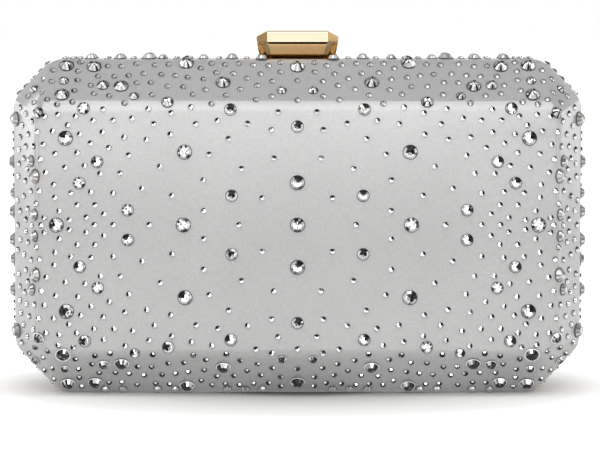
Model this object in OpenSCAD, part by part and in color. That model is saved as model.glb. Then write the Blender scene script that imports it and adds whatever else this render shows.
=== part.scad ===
// Hard-shell evening clutch: two satin-covered trays set with flat-backed stones, hinged
// along the bottom and held shut by a faceted push clasp on top.
// The origin is the middle of the resting face. +Z is up and the front half faces -Y.

/* [Case] */
// Overall width of the case
case_w = 178; // [160:1:200]
// Overall height of the case without its clasp
case_h = 105; // [96:1:116]
// Depth of one half's straight wall
wall_d = 8; // [7.6:0.2:10]
// Depth of one half's slope, from the wall to the face
slope_d = 14; // [12:0.5:16]
// Run of the slope along the top and bottom
run_z = 13.5; // [12:0.5:15]
// Run of the slope along the sides
run_x = 8; // [7:0.5:9]
// Run of the slope across the cut corners
run_corner = 8.5; // [7.5:0.5:9.5]
// Corner cut, along the width
cut_x = 14.4; // [13:0.2:17]
// Corner cut, along the height
cut_z = 15; // [13:0.2:17]
// How much further out the top corners reach than the bottom ones
top_ease = 1.8; // [0:0.2:2.4]
// Rounding of the outline at its corners
outline_r = 10; // [8:0.5:12]
// Rounding between wall and slope
wall_r = 4.2; // [4:0.1:5]
// Rounding between slope and face
face_r = 5; // [4.5:0.5:6]
// Lean of the face at its top and bottom edge, in degrees
face_lean = 3; // [1:0.5:4]

/* [Layers] */
// Thickness of the satin cover
satin_t = 0.5; // [0.4:0.1:0.7]
// Thickness of the stiff tray
shell_t = 1.4; // [1.2:0.1:1.8]
// Thickness of the frame's inner flange and of the wadding behind it
flange_t = 0.8; // [0.6:0.1:1]
// Thickness of the lining board
lining_t = 0.6; // [0.5:0.1:0.8]
// Width of the frame's band beside the seam
rim_w = 1.6; // [1.2:0.1:2]

/* [Hinge] */
// Radius of the hinge knuckles
knuckle_r = 1.7; // [1.6:0.05:1.8]
// Radius of the hinge pin
pin_r = 0.8; // [0.6:0.05:0.9]
// Length of one hinge
hinge_w = 26; // [20:1:32]
// Distance of each hinge from the middle
hinge_x = 48; // [36:1:54]

/* [Clasp] */
// Width of the faceted knob
knob_w = 25.6; // [22:0.2:28]
// Depth of the faceted knob
knob_d = 13; // [12:0.2:15]
// Height of the knob above the case
knob_h = 8.8; // [8:0.2:10]
// Travel of the knob when pressed
press_travel = 1.5; // [1.3:0.1:1.6]

/* [Stones] */
// Radius of the largest stones
stone_r20 = 2.35; // [2.1:0.05:2.5]
// Radius of the large stones
stone_r16 = 1.95; // [1.7:0.05:2]
// Radius of the middle stones
stone_r12 = 1.6; // [1.4:0.05:1.7]
// Radius of the small stones
stone_r6 = 1.0; // [0.8:0.05:1.05]

/* [Hidden] */
$fn = 24;

// Gaps: glued layers, the seam, a sliding fit and free running room
glue_gap = 0.05;
seam_gap = 0.15;
fit_gap = 0.02;
run_gap = 0.3;
overrun = 2;
arc_steps = 4;
least_round = 0.4;

// Each layer's depth under the outer surface
shell_in = satin_t + glue_gap;
shell_out = shell_in + shell_t;
flange_in = shell_out + glue_gap;
flange_out = flange_in + flange_t;
lining_in = flange_out + glue_gap;
lining_out = lining_in + lining_t;
wall_round = max(wall_r, lining_out + least_round);
face_round = max(face_r, lining_out + least_round);
outline_round = max(outline_r, lining_out + least_round);

// A side is [distance from the middle, slope angle, depth of the slope's head, lean of the face]
corner_angle = atan2(cut_x, cut_z);
corner_s = (case_w / 2 - cut_x) * cos(corner_angle) + case_h / 2 * sin(corner_angle);
top_side = [case_h / 2, atan(slope_d / run_z), wall_d + slope_d, face_lean];
barrel_at = face_centre(top_side) + face_round * [sin(face_lean), cos(face_lean)];
barrel_r = barrel_at.x / sin(face_lean);
barrel_c = barrel_at.y - barrel_r * cos(face_lean);
top_d = barrel_c + barrel_r;
wide_side = [case_w / 2, atan(slope_d / run_x), top_d + glue_gap, 0];
corner_side = [corner_s, atan(slope_d / run_corner), top_d + glue_gap, 0];
top_corner_side = [corner_s + top_ease, corner_side[1], corner_side[2], 0];
flange_d = wall_centre(top_side).y - run_gap;

function slope_head(side) = side[0] - (side[2] - wall_d) / tan(side[1]);
function wall_centre(side) = [side[0] - wall_round, wall_d - wall_round * tan((90 - side[1]) / 2)];
function face_centre(side) =
    let (mid = (side[1] + side[3]) / 2, half = (side[1] - side[3]) / 2)
    [slope_head(side), side[2]] - face_round / cos(half) * [sin(mid), cos(mid)];
function arc(c, r, from, to, first = 0) =
    [for (i = [first:arc_steps]) let (b = from + (to - from) * i / arc_steps) c + r * [sin(b), cos(b)]];

// Half of a side's cross-section, from the wall to the middle. Its first facet runs on past
// the wall, so that the outline prism crosses it and never lies on it.
function half_ridge(side, inset) =
    let (edge = arc(wall_centre(side), wall_round - inset, 90, side[1]),
        past = edge[0] + (edge[0] - edge[1]) / norm(edge[0] - edge[1]) * overrun)
    concat(
    [[past.x, -overrun], past],
    [for (i = [1:arc_steps]) edge[i]],
    arc(face_centre(side), face_round - inset, side[1], side[3]),
    side[3] > 0 ? arc([0, barrel_c], barrel_r - inset, side[3], 0, 1) : []);
function mirrored(points, skip) =
    [for (i = [len(points) - 1 - skip:-1:0]) [-points[i].x, points[i].y]];
function ridge(side, other, inset) =
    concat(half_ridge(side, inset), mirrored(half_ridge(other, inset), side[3] > 0 ? 1 : 0));

// The outline's eight straight sides, as [direction, distance from the middle]
outline_sides = [
    [0, wide_side[0]], [corner_angle, top_corner_side[0]],
    [90, top_side[0]], [180 - corner_angle, top_corner_side[0]],
    [180, wide_side[0]], [180 + corner_angle, corner_s], [270, top_side[0]], [360 - corner_angle, corner_s]];
function round_centre(a, b) =
    let (p = a[1] - outline_round, q = b[1] - outline_round)
    [p * sin(b[0]) - q * sin(a[0]), q * cos(a[0]) - p * cos(b[0])] / sin(b[0] - a[0]);
function outline(inset) = [
    for (i = [0:7])
        let (a = outline_sides[i], b = outline_sides[(i + 1) % 8], sweep = (b[0] - a[0] + 360) % 360)
        for (k = [0:arc_steps]) let (t = a[0] + sweep * k / arc_steps)
            round_centre(a, b) + (outline_round - inset) * [cos(t), sin(t)]];

// Two opposite sides in one prism: a side faces the given direction, the other its opposite
module ridge_prism(turn, side, other, inset)
    rotate([0, -turn, 0]) rotate([180, 0, 0])
        linear_extrude(case_w + case_h, center = true) polygon(ridge(side, other, inset));

module outline_prism(inset, low, high)
    translate([0, -low, 0]) rotate([90, 0, 0]) linear_extrude(high - low) polygon(outline(inset));

// The front tray's space at a given depth under its outer surface, from the seam side to the face
module tray_space(inset, low) translate([0, 0, case_h / 2]) intersection() {
    outline_prism(inset, low, top_d + overrun);
    ridge_prism(90, top_side, top_side, inset);
    ridge_prism(0, wide_side, wide_side, inset);
    ridge_prism(corner_angle, top_corner_side, corner_side, inset);
    ridge_prism(-corner_angle, corner_side, top_corner_side, inset);
}

module tray_layer(inner, outer, low) difference() {
    tray_space(inner, low);
    tray_space(outer, 0);
}

module back() mirror([0, 1, 0]) children();
module each_side() for (side = [-1, 1]) scale([side, 1, 1]) children();

// A box given by its lowest and highest corners
module span(low, high) translate(low) cube(high - low);

// Hinge: its axis lies above the floor by the knuckle and a little room
knuckle_lift = 0.5;
hinge_z = knuckle_r + knuckle_lift;
knuckle_room = knuckle_r + run_gap;
middle_share = 0.4;
knuckle_gap = 0.2;
middle_w = hinge_w * middle_share;
outer_w = (hinge_w - middle_w) / 2 - knuckle_gap;
leaf_t = 0.7;
leaf_z = flange_out + fit_gap;
leaf_d = flange_d;
leaf_y = 0.4;
rivet_r = 0.6;
rivet_head_r = 1.25;
rivet_head_h = 0.45;
hinge_rivet_x = hinge_w / 2 - rivet_head_r - run_gap;
hinge_rivet_y = leaf_d - rivet_head_r - run_gap;
relief_gap = 0.15;

// Clasp: knob, its recess in the top wall, and the lock beneath
top_z = case_h;
knob_cut = 3.4;
knob_girdle_z = 5;
knob_end_z = 7;
knob_bevel = 0.3;
knob_table_w = 18.9;
knob_foot_w = 23.6;
knob_foot_d = 6;
knob_foot_cut = 3.9;
knob_stem_w = 18;
knob_stem_cut = 2.1;
knob_sink = 1;
press_share = press_travel / knob_girdle_z;
recess_gap = 0.35;
recess_x = knob_foot_w / 2 + (knob_w - knob_foot_w) / 2 * press_share + recess_gap;
recess_y = knob_foot_d / 2 + (knob_d - knob_foot_d) / 2 * press_share + recess_gap;
recess_z = top_z - lining_out - overrun;
mouth_reach = knob_foot_w + knob_foot_d - 2 * knob_foot_cut;
mouth_grow = (knob_w + knob_d - 2 * knob_cut - mouth_reach) * press_share;
mouth_cut = recess_x + recess_y - (mouth_reach + mouth_grow) / 2 - recess_gap;
plate_t = 0.8;
plate_top = top_z - flange_out - fit_gap;
plate_low = plate_top - plate_t;
case_t = 0.6;
lock_margin = 3.9;
lock_x = recess_x + lock_margin;
lock_y = flange_d;
lock_rivet_margin = 2;
lock_rivet_x = recess_x + lock_rivet_margin;
lock_rivet_y = lock_y - case_t - rivet_head_r - run_gap;
post_r = 1;
post_x = 5.5;
post_y = 1.2;
post_seat = 2.5;
collar_r = 1.8;
collar_t = 0.6;
tongue_drop = 7.6;
tongue_low = top_z - tongue_drop;
catch_lap = press_travel - run_gap;
finger_top = tongue_low + catch_lap;
latch_t = 1;
latch_top = tongue_low - press_travel - run_gap;
latch_low = latch_top - latch_t;
clip_t = 0.5;
clip_r = 1.9;
spring_r = 1.85;
spring_wire = 0.45;
spring_len = 6.3;
floor_top = latch_low - clip_t - spring_len - fit_gap;
floor_low = floor_top - case_t;
post_low = floor_top + press_travel + run_gap;
tongue_t = 0.6;
tongue_w = 2.6;
tongue_margin = 1.2;
tongue_x = recess_x + tongue_margin;
tongue_y = 2.6;
finger_t = 0.8;
finger_w = 1.8;
finger_gap = 0.2;
finger_y = tongue_y + tongue_t + finger_gap;
finger_x = tongue_x - finger_w / 2;
latch_margin = 1.5;
latch_back_y = post_y + clip_r + latch_margin;

// The groove that lets both halves turn past each other under the hinge axis
module seam_relief() {
    high = hinge_z + relief_gap;
    rotate([90, 0, 90]) linear_extrude(case_w, center = true)
        polygon([[overrun, high], [0, high], [-high - overrun, -overrun], [overrun, -overrun]]);
}

module knuckle_rooms() each_side()
    translate([hinge_x, 0, hinge_z]) rotate([0, 90, 0])
        cylinder(h = hinge_w + 2 * run_gap, r = knuckle_room, center = true);

module recess() span([-recess_x, -recess_y, recess_z], [recess_x, recess_y, top_z + overrun]);

// The recess as it shows in the top wall, cut across its corners as the knob is
module mouth() translate([0, 0, recess_z]) linear_extrude(lining_out + 2 * overrun)
    polygon(octagon(2 * recess_x, 2 * recess_y, mouth_cut));

module leaf_room() each_side()
    span([hinge_x - hinge_w / 2 - run_gap, -leaf_d - run_gap, -overrun],
        [hinge_x + hinge_w / 2 + run_gap, overrun, hinge_z + lining_out]);

module lock_room() each_side()
    span([0, -lock_y - run_gap, recess_z], [lock_x + run_gap, overrun, top_z - lining_in + glue_gap]);

module tongue_room() each_side()
    span([tongue_x - tongue_w / 2 - run_gap, -flange_d - run_gap, recess_z],
        [tongue_x + tongue_w / 2 + run_gap, overrun, top_z - lining_in + glue_gap]);

// Layers of one half, drawn for the front
rim_d = seam_gap + rim_w;
cover_low = rim_d + glue_gap;
strip_w = 140;
strip_y0 = hinge_z + relief_gap + run_gap;
strip_y1 = flange_d - run_gap / 2;

module satin() color([0.74, 0.74, 0.76]) difference() {
    tray_layer(0, satin_t, cover_low);
    seam_relief();
    knuckle_rooms();
    mouth();
    translate([0, 0, -overrun]) linear_extrude(satin_t + overrun + glue_gap)
        translate([-strip_w / 2 - glue_gap, -strip_y1 - glue_gap])
            square([strip_w + 2 * glue_gap, strip_y1 - strip_y0 + 2 * glue_gap]);
}

module base_strip() color([0.76, 0.62, 0.38])
    span([-strip_w / 2, -strip_y1, 0], [strip_w / 2, -strip_y0, satin_t]);

module shell() color([0.5, 0.5, 0.52]) difference() {
    tray_layer(shell_in, shell_out, cover_low);
    seam_relief();
    knuckle_rooms();
    mouth();
}

module wadding() color([0.92, 0.92, 0.9])
    tray_layer(flange_in, flange_out, flange_d + glue_gap);

module lining() color([0.6, 0.59, 0.62]) difference() {
    tray_layer(lining_in, lining_out, seam_gap + run_gap);
    leaf_room();
    recess();
}

module frame() color([0.8, 0.66, 0.42]) difference() {
    translate([0, 0, case_h / 2]) difference() {
        union() {
            outline_prism(0, seam_gap, rim_d);
            outline_prism(flange_in, seam_gap, flange_d);
        }
        outline_prism(flange_out, -overrun, flange_d + overrun);
    }
    seam_relief();
    knuckle_rooms();
    recess();
}

// Hinge
module pin_bore(gap) translate([hinge_x, 0, hinge_z]) rotate([0, 90, 0])
    cylinder(h = hinge_w + overrun, r = pin_r + gap, center = true);

module knuckle(x, w) translate([x, 0, hinge_z]) rotate([0, 90, 0])
    cylinder(h = w, r = knuckle_r, center = true);

module leaf_plate()
    span([hinge_x - hinge_w / 2, -leaf_d, leaf_z], [hinge_x + hinge_w / 2, -leaf_y, leaf_z + leaf_t]);

module leaf_rivet_holes() for (side = [-1, 1])
    translate([hinge_x + side * hinge_rivet_x, -hinge_rivet_y, -overrun])
        cylinder(h = leaf_z + leaf_t + 2 * overrun, r = rivet_r + fit_gap);

module knuckle_cut(x, w) translate([x, 0, hinge_z]) rotate([0, 90, 0])
    cylinder(h = w + 2 * knuckle_gap, r = knuckle_room, center = true);

module front_leaf() difference() {
    union() {
        leaf_plate();
        knuckle(hinge_x, middle_w);
    }
    for (side = [-1, 1])
        knuckle_cut(hinge_x + side * (hinge_w - outer_w) / 2, outer_w);
    pin_bore(glue_gap);
    leaf_rivet_holes();
}

module back_leaf() back() difference() {
    union() {
        leaf_plate();
        for (side = [-1, 1])
            knuckle(hinge_x + side * (hinge_w - outer_w) / 2, outer_w);
    }
    knuckle_cut(hinge_x, middle_w);
    pin_bore(fit_gap);
    leaf_rivet_holes();
}

module front_hinge_leaves() color([0.78, 0.64, 0.4]) each_side() front_leaf();
module back_hinge_leaves() color([0.74, 0.6, 0.37]) each_side() back_leaf();

module hinge_pins() color([0.7, 0.7, 0.7]) each_side() translate([hinge_x, 0, hinge_z]) rotate([0, 90, 0])
    cylinder(h = hinge_w, r = pin_r, center = true);

module rivet(length) {
    translate([0, 0, -length]) cylinder(h = length, r = rivet_r);
    cylinder(h = rivet_head_h, r1 = rivet_head_r, r2 = rivet_r);
}

module hinge_rivets() color([0.86, 0.72, 0.48]) each_side() for (side = [-1, 1])
    translate([hinge_x + side * hinge_rivet_x, -hinge_rivet_y, leaf_z + leaf_t + fit_gap])
        rivet(leaf_z + leaf_t - flange_in);

module hinge_holes() each_side() leaf_rivet_holes();

// The faceted knob: prisms seen from above, the front, the side and the two corners, crossed
function octagon(w, d, cut) = [
    [w / 2, d / 2 - cut], [w / 2 - cut, d / 2], [-w / 2 + cut, d / 2], [-w / 2, d / 2 - cut],
    [-w / 2, -d / 2 + cut], [-w / 2 + cut, -d / 2], [w / 2 - cut, -d / 2], [w / 2, -d / 2 + cut]];
function corner_reach(w, d, cut) = (w / 2 + d / 2 - cut) * cos(45);

module crown_prism(turn, foot, girdle, shoulder_z, table)
    rotate([0, 0, turn]) rotate([90, 0, 0]) linear_extrude(knob_w + knob_d, center = true) polygon([
        [-foot, 0], [foot, 0], [girdle, knob_girdle_z], [girdle, shoulder_z], [table, knob_h],
        [-table, knob_h], [-girdle, shoulder_z], [-girdle, knob_girdle_z]]);

module corner_prism(turn) crown_prism(turn, corner_reach(knob_foot_w, knob_foot_d, knob_foot_cut),
    corner_reach(knob_w, knob_d, knob_cut), knob_h - knob_bevel,
    corner_reach(knob_w, knob_d, knob_cut) - knob_bevel);

module clasp_knob() color([0.9, 0.78, 0.52]) translate([0, 0, top_z]) difference() {
    union() {
        intersection() {
            linear_extrude(knob_h) polygon(octagon(knob_w, knob_d, knob_cut));
            crown_prism(0, knob_foot_w / 2, knob_w / 2, knob_end_z, knob_table_w / 2);
            crown_prism(90, knob_foot_d / 2, knob_d / 2, knob_h - knob_bevel, knob_d / 2 - knob_bevel);
            corner_prism(45);
            corner_prism(-45);
        }
        translate([0, 0, -knob_sink]) linear_extrude(knob_sink + fit_gap)
            polygon(octagon(knob_stem_w, knob_foot_d, knob_stem_cut));
    }
    each_side() translate([post_x, post_y, -knob_sink - overrun])
        cylinder(h = post_seat + overrun, r = post_r + fit_gap);
}

module clasp_posts() color([0.72, 0.72, 0.7]) each_side() translate([post_x, post_y, 0]) {
    translate([0, 0, post_low]) cylinder(h = top_z - knob_sink + post_seat - fit_gap - post_low, r = post_r);
    translate([0, 0, plate_low - glue_gap - collar_t]) cylinder(h = collar_t, r = collar_r);
}

module latch_plate() color([0.66, 0.66, 0.68]) difference() {
    union() {
        span([-finger_x - finger_w, -run_gap, latch_low], [finger_x + finger_w, latch_back_y, latch_top]);
        each_side() {
            span([finger_x, -finger_y - finger_t, latch_low], [finger_x + finger_w, glue_gap, latch_top]);
            span([finger_x, -finger_y - finger_t, latch_low], [finger_x + finger_w, -finger_y, finger_top]);
        }
    }
    each_side() translate([post_x, post_y, latch_low - overrun])
        cylinder(h = latch_t + 2 * overrun, r = post_r + fit_gap);
}

module washer(outer, inner, h) difference() {
    cylinder(h = h, r = outer);
    translate([0, 0, -overrun]) cylinder(h = h + 2 * overrun, r = inner);
}

module post_clips() color([0.55, 0.55, 0.57]) each_side()
    translate([post_x, post_y, latch_low - clip_t - fit_gap / 2]) washer(clip_r, post_r + fit_gap, clip_t);

module return_springs() color([0.6, 0.62, 0.66]) each_side()
    translate([post_x, post_y, floor_top]) washer(spring_r, spring_r - spring_wire, spring_len);

module lock_plate() back() color([0.82, 0.7, 0.46]) difference() {
    union() {
        span([-lock_x, -lock_y, plate_low], [lock_x, -run_gap, plate_top]);
        span([run_gap - recess_x, -lock_y, plate_low], [recess_x - run_gap, recess_y - run_gap, plate_top]);
    }
    each_side() {
        translate([post_x, -post_y, plate_low - overrun])
            cylinder(h = plate_t + 2 * overrun, r = post_r + glue_gap);
        translate([lock_rivet_x, -lock_rivet_y, plate_low - overrun])
            cylinder(h = plate_t + 2 * overrun, r = rivet_r + fit_gap);
    }
}

module lock_case() back() color([0.7, 0.58, 0.38]) {
    low_y = run_gap * 2;
    span([-lock_x, -lock_y, floor_low], [lock_x, -low_y, floor_top - fit_gap]);
    span([-lock_x, -lock_y, floor_low], [lock_x, case_t - lock_y, plate_low - fit_gap]);
    each_side() span([lock_x - case_t, -lock_y, floor_low], [lock_x, -low_y, plate_low - fit_gap]);
}

module lock_rivets() back() color([0.86, 0.72, 0.48]) each_side()
    translate([lock_rivet_x, -lock_rivet_y, plate_low - fit_gap]) mirror([0, 0, 1])
        rivet(top_z - flange_in - plate_low);

module lock_holes() each_side() translate([lock_rivet_x, -lock_rivet_y, plate_low])
    cylinder(h = top_z - flange_in + glue_gap / 2 - plate_low, r = rivet_r + fit_gap);

// Spring-steel catches under the front half's top wall: each lips over one finger of the latch
tongue_top = top_z - flange_out - fit_gap;
tongue_rivet_y = hinge_rivet_y;

module catch_tongues() color([0.62, 0.63, 0.66]) each_side() difference() {
    union() {
        span([tongue_x - tongue_w / 2, -flange_d, tongue_top - tongue_t],
            [tongue_x + tongue_w / 2, -tongue_y, tongue_top]);
        span([tongue_x - tongue_w / 2, -tongue_y - tongue_t, tongue_low],
            [tongue_x + tongue_w / 2, -tongue_y, tongue_top]);
    }
    translate([tongue_x, -tongue_rivet_y, tongue_top - tongue_t - overrun])
        cylinder(h = tongue_t + 2 * overrun, r = rivet_r + fit_gap);
}

module tongue_rivets() color([0.86, 0.72, 0.48]) each_side()
    translate([tongue_x, -tongue_rivet_y, tongue_top - tongue_t - fit_gap]) mirror([0, 0, 1])
        rivet(top_z - flange_in - tongue_top + tongue_t);

module tongue_holes() each_side() translate([tongue_x, -tongue_rivet_y, tongue_top - overrun])
    cylinder(h = top_z - flange_in + glue_gap / 2 - tongue_top + overrun, r = rivet_r + fit_gap);

module front_frame() difference() {
    frame();
    hinge_holes();
    tongue_holes();
}

module back_frame() back() difference() {
    frame();
    hinge_holes();
    lock_holes();
}

module front_lining() difference() {
    lining();
    tongue_room();
}

module back_lining() back() difference() {
    lining();
    lock_room();
}

// A flat slip pocket sewn on the back half's lining
pocket_w = 112;
pocket_h = 46;
pocket_t = 0.8;
pocket_z = 26;
pocket_y = barrel_c + (barrel_r - lining_out) * cos(asin((case_h / 2 - pocket_z) / barrel_r));
module slip_pocket() color([0.64, 0.63, 0.66])
    span([-pocket_w / 2, pocket_y - pocket_t - glue_gap, pocket_z],
        [pocket_w / 2, pocket_y - glue_gap, pocket_z + pocket_h]);

// Where a stone seats on one side: [depth from the seam, tilt from the face direction]
function side_seat(side, s) =
    let (w = wall_centre(side), f = face_centre(side), a = side[1], lean = side[3])
    s > w.x + wall_round * sin(a)
        ? let (b = asin(min(1, (s - w.x) / wall_round))) [w.y + wall_round * cos(b), b]
    : s > f.x + face_round * sin(a)
        ? [w.y + wall_round * cos(a) + (w.x + wall_round * sin(a) - s) * tan(a), a]
    : s > f.x + face_round * sin(lean)
        ? let (b = asin((s - f.x) / face_round)) [f.y + face_round * cos(b), b]
    : lean > 0
        ? let (b = asin(s / barrel_r)) [barrel_c + barrel_r * cos(b), b]
    : [side[2], 0];

// The lowest of the three sides carries the stone: [depth, tilt, direction of that side]
function seat(x, z, sz) =
    let (across = side_seat(wide_side, x), up = side_seat(top_side, z),
        reach = x * cos(corner_angle) + z * sin(corner_angle),
        corner = side_seat(sz > 0 ? top_corner_side : corner_side, reach))
    up[0] <= across[0] && up[0] <= corner[0] ? [up[0], up[1], 90]
    : across[0] <= corner[0] ? [across[0], across[1], 0]
    : [corner[0], corner[1], corner_angle];

// A stone is a low crown on a round flat back, its height a share of its radius
crown_share = 0.82;
table_share = 0.55;
module stone(r) cylinder(h = r * crown_share, r1 = r, r2 = r * table_share);

module stand(direction) rotate([0, acos(direction.z), atan2(direction.y, direction.x)])
    translate([0, 0, fit_gap]) children();

function signs(v) = v == 0 ? [1] : [-1, 1];

// Places are shares of the half width and half height, seen from the front by an eye at
// eye_d and a little above the middle, so a place on the near face is drawn in towards the
// middle and moved up by a share of its depth. The lowest row stays clear of the floor.
full_share = 100;
eye_d = 1050;
eye_rise = 0.075;
module stones(places, r) for (p = places, sz = signs(p.y)) {
    seen = [p.x * case_w / 2, p.y * case_h / 2] / full_share;
    depth = seat(seen.x, seen.y, sz)[0];
    place = seen * (1 - depth / eye_d) + [0, sz * depth * eye_rise];
    z = sz > 0 ? place.y : min(place.y, case_h / 2 - r - run_gap);
    at = seat(place.x, z, sz);
    for (sx = signs(p.x))
        translate([sx * place.x, -at[0], case_h / 2 + sz * z])
            stand([sx * sin(at[1]) * cos(at[2]), -cos(at[1]), sz * sin(at[1]) * sin(at[2])]) stone(r);
}

// Stones on the straight walls: [share along the half side, share of the wall's depth]
module top_wall_stones(places, r) for (p = places, sx = signs(p.x))
    translate([sx * p.x * case_w / 2 / full_share, -p.y * wall_d / full_share, case_h])
        stand([0, 0, 1]) stone(r);

module side_wall_stones(places, r) for (p = places, sx = [-1, 1], sz = signs(p.x))
    translate([sx * case_w / 2, -p.y * wall_d / full_share, case_h / 2 + sz * p.x * case_h / 2 / full_share])
        stand([sx, 0, 0]) stone(r);

module corner_wall_stones(places, r) for (p = places, sx = [-1, 1], sz = [-1, 1]) {
    ease = sz > 0 ? top_ease : 0;
    x = case_w / 2 - cut_x * (1 - p.x / full_share) + ease * cos(corner_angle);
    z = case_h / 2 - cut_z * p.x / full_share + ease * sin(corner_angle);
    translate([sx * x, -p.y * wall_d / full_share, case_h / 2 + sz * z])
        stand([sx * cos(corner_angle), 0, sz * sin(corner_angle)]) stone(r);
}

stones_20_shares = [
    [82.4, 52.4], [40.1, 44], [40.6, 0], [85.8, 0], [0, 25.6], [0, 0],
    [81.8, 95.7], [72.1, 95.1], [83.6, 78.3], [62.6, 83.4], [39.4, 97.1], [26.4, 85.6], [0, 94.9],
    [93, 29.8], [99.7, 64]];
stones_16_shares = [
    [75.9, 70.4], [23.8, 69.7], [46.1, 74], [0, 59.4], [71.2, 38.1], [77.6, 25.4], [60.4, 9], [23.4, 17.7],
    [69, 84], [94.3, 38.8], [92, 67.8], [93.3, 6.5]];
stones_12_shares = [[82.9, 86.7], [58, 77.5], [5.6, 80.9], [93.3, 81.7]];
face_stones_6_shares = [
    [85, 66.5], [78.7, 65.5], [72.5, 63], [69.1, 69.6], [65.4, 63], [58.7, 64.3], [52.9, 70],
    [51, 60.8], [44.8, 67.5], [37.8, 71], [36.1, 60.8], [30.5, 73.1], [28.3, 62.9], [17.7, 61.1],
    [6.9, 68], [9.2, 57.3], [24.5, 51.9], [81.5, 60.2], [86.9, 56.6], [77.2, 54.8], [69.2, 55.9],
    [73.5, 49.2], [61.5, 52.9], [53.6, 51.4], [45.1, 54.6], [67, 46.5], [60, 42], [86.1, 42.9],
    [78.2, 43.5], [82.6, 34.6], [75.6, 35.7], [70.1, 31], [63, 31.1], [48.8, 35.2], [89.4, 31.7],
    [86.6, 24.3], [80.6, 19.2], [73.4, 19.9], [65.5, 19.1], [55.2, 22], [44.6, 17.7], [86.2, 16.6],
    [78.3, 12], [72, 12], [84.7, 8.4], [75.1, 4.5], [68.8, 6.5], [81.1, 2.9], [90, 4.5], [31.4, 42.5],
    [8.4, 40.2], [19.9, 33.9], [33.4, 27], [12.5, 16.2], [33.3, 8.5], [72.2, 0], [65.5, 0], [52.7, 0],
    [20.8, 0]];
slope_stones_6_shares = [
    [86.7, 93], [77.8, 92.4], [77, 97.8], [90.1, 87.8], [87.2, 86.3], [78, 87.1], [70.7, 89.4],
    [73.3, 84], [90.5, 79.8], [79.2, 80.9], [88.8, 75.7], [95.5, 77.5], [72.2, 79], [85.3, 72.8],
    [79.9, 74.2], [93.4, 73.7], [98.1, 71], [67.2, 95.5], [62.5, 95.3], [57.2, 96.8], [50.6, 96.1],
    [45.7, 96.5], [64.9, 89.3], [59.9, 89.9], [54.6, 90.9], [48.3, 90.5], [43.4, 89.8], [38.9, 88.8],
    [57, 85.5], [52, 85.7], [46.1, 83.4], [40.5, 83.1], [66.8, 77.8], [51.6, 78.4], [37.1, 78.6],
    [61.4, 73.4], [34.3, 94.2], [30.5, 96.9], [25.7, 96.3], [20.8, 96.9], [15.7, 96.1], [10.3, 95.7],
    [6, 97.6], [28.8, 91.5], [22.7, 91.1], [13.1, 90.8], [6.1, 91.9], [33.3, 87.7], [18, 88.1],
    [9, 86.4], [0, 86.8], [14.3, 83.9], [32.7, 81.3], [20.4, 81.7], [25.4, 78.1], [14.8, 75.4],
    [9.1, 77.5], [0, 75.2], [96.1, 67.3], [93.9, 62.9], [89.7, 65.4], [97.4, 60.2], [98.2, 53.2],
    [95.3, 55], [92.1, 56.3], [96.2, 47.7], [93.5, 47.8], [90.2, 48.6], [98.6, 45.6], [96.9, 40.4],
    [91.2, 39.8], [98.6, 37.1], [95.7, 33.9], [98.9, 29.5], [96.4, 26.9], [94.4, 20.8], [91.6, 20.7],
    [97, 17.7], [99.3, 14.9], [92.7, 13.1], [95.6, 10.1], [98.3, 8.7], [96.3, 3.7], [99.2, 0],
    [94.2, 0], [91.1, 0]];
top_wall_20_shares = [[52.5, 57]];
top_wall_16_shares = [[72.9, 56], [62.7, 52], [23.2, 55], [12.6, 82]];
top_wall_12_shares = [[47.7, 48], [33.3, 56]];
top_wall_6_shares = [
    [82.2, 45], [79.3, 66], [77, 38], [67.1, 62], [58, 44], [42.8, 64], [37.9, 42], [27.8, 62], [18, 48]];
side_wall_20_shares = [[38.6, 57], [8.5, 57]];
side_wall_16_shares = [[19.8, 62]];
side_wall_6_shares = [[30.2, 52], [24.1, 36], [55.4, 60], [51.3, 40], [46, 62], [60.2, 42]];
corner_wall_6_shares = [[20, 55], [35, 42], [50, 62], [66, 44], [80, 58]];

module stones_20() color([0.86, 0.88, 0.92]) {
    stones(stones_20_shares, stone_r20);
    top_wall_stones(top_wall_20_shares, stone_r20);
    side_wall_stones(side_wall_20_shares, stone_r20);
}

module stones_16() color([0.84, 0.87, 0.92]) {
    stones(stones_16_shares, stone_r16);
    top_wall_stones(top_wall_16_shares, stone_r16);
    side_wall_stones(side_wall_16_shares, stone_r16);
}

module stones_12() color([0.82, 0.86, 0.92]) {
    stones(stones_12_shares, stone_r12);
    top_wall_stones(top_wall_12_shares, stone_r12);
}

module stones_6() color([0.88, 0.9, 0.94]) {
    stones(face_stones_6_shares, stone_r6);
    stones(slope_stones_6_shares, stone_r6);
    top_wall_stones(top_wall_6_shares, stone_r6);
    side_wall_stones(side_wall_6_shares, stone_r6);
    corner_wall_stones(corner_wall_6_shares, stone_r6);
}

satin();  // front_satin
shell();  // front_shell
wadding();  // front_wadding
front_lining();
front_frame();
base_strip();  // front_base_strip
back() satin();  // back_satin
back() shell();  // back_shell
back() wadding();  // back_wadding
back_lining();
back_frame();
back() base_strip();  // back_base_strip
slip_pocket();
front_hinge_leaves();
back_hinge_leaves();
hinge_pins();
hinge_rivets();  // front_hinge_rivets
back() hinge_rivets();  // back_hinge_rivets
clasp_knob();
clasp_posts();
latch_plate();
post_clips();
return_springs();
lock_plate();
lock_case();
lock_rivets();
catch_tongues();
tongue_rivets();
stones_20();  // front_stones_20
stones_16();  // front_stones_16
stones_12();  // front_stones_12
stones_6();  // front_stones_6
back() stones_20();  // back_stones_20
back() stones_16();  // back_stones_16
back() stones_12();  // back_stones_12
back() stones_6();  // back_stones_6
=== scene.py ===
"""Looks of the stone-set evening clutch: satin covers, cut stones, gilt clasp, frame and lining."""

import math
import random

import bpy
import numpy as np
from mathutils import Matrix, Vector
from mathutils.bvhtree import BVHTree


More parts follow.
